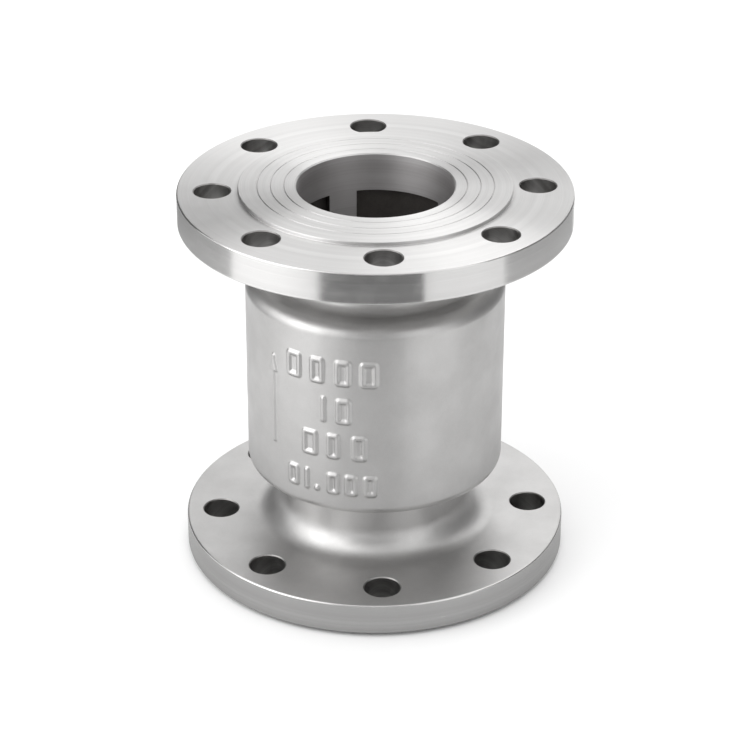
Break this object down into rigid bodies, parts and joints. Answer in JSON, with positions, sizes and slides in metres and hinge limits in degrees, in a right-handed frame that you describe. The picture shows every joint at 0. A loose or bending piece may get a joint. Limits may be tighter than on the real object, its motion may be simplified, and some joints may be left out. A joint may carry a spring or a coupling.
{
  "type": "flanged vertical lift check valve",
  "caption": "Cast stainless lift check valve with flanged ends, a barrel body and a spring-closed guided disc on its axis.",
  "frame": {"origin": "centre of the inlet joint face, on the valve's axis", "axes": "+Z along the flow from inlet to outlet; -Y through the middle of the raised casting marks; +X makes the right-handed frame"},
  "size_m": [0.195, 0.195, 0.2],
  "materials": {
    "cast_stainless": "blasted casting with turned joint faces",
    "turned_stainless": "turned",
    "ground_stainless": "ground",
    "bolt_stainless": "satin",
    "sheet_stainless": "stamped sheet",
    "spring_wire": "drawn wire",
    "spring_steel": "stamped spring strip",
    "filled_ptfe": "carbon-filled PTFE",
    "white_ptfe": "PTFE",
    "black_rubber": "moulded rubber"
  },
  "bodies": {
    "casing": {"inlet_flange": "cast_stainless", "inlet_neck": "cast_stainless", "seat_housing": "cast_stainless", "barrel": "cast_stainless", "outlet_neck": "cast_stainless", "outlet_flange": "cast_stainless", "seat_ring": "turned_stainless", "seat_o_ring": "black_rubber", "seat_lock_screws": "bolt_stainless", "lower_guide_bush": "filled_ptfe", "spring": "spring_wire", "upper_spring_washer": "sheet_stainless", "upper_guide": "turned_stainless", "upper_guide_bush": "filled_ptfe", "retaining_ring": "spring_steel"},
    "thrust_washer": {"lower_spring_washer": "sheet_stainless"},
    "closure": {"disc": "turned_stainless", "disc_seal": "white_ptfe", "seal_clamp_ring": "turned_stainless", "clamp_ring_screws": "bolt_stainless", "stem": "ground_stainless", "tab_washer": "sheet_stainless", "stem_nut": "bolt_stainless"}
  },
  "joints": [
    {"name": "disc_lift", "type": "slide", "parent": "casing", "child": "thrust_washer", "axis": [0, 0, 1], "range_m": [0, 0.016], "stiffness_N_per_m": 1200, "springref_m": -0.01, "deforming": ["spring"]},
    {"name": "disc_spin", "type": "hinge", "parent": "thrust_washer", "child": "closure", "pos_m": [0, 0, 0.08], "axis": [0, 0, 1], "continuous": true}
  ]
}
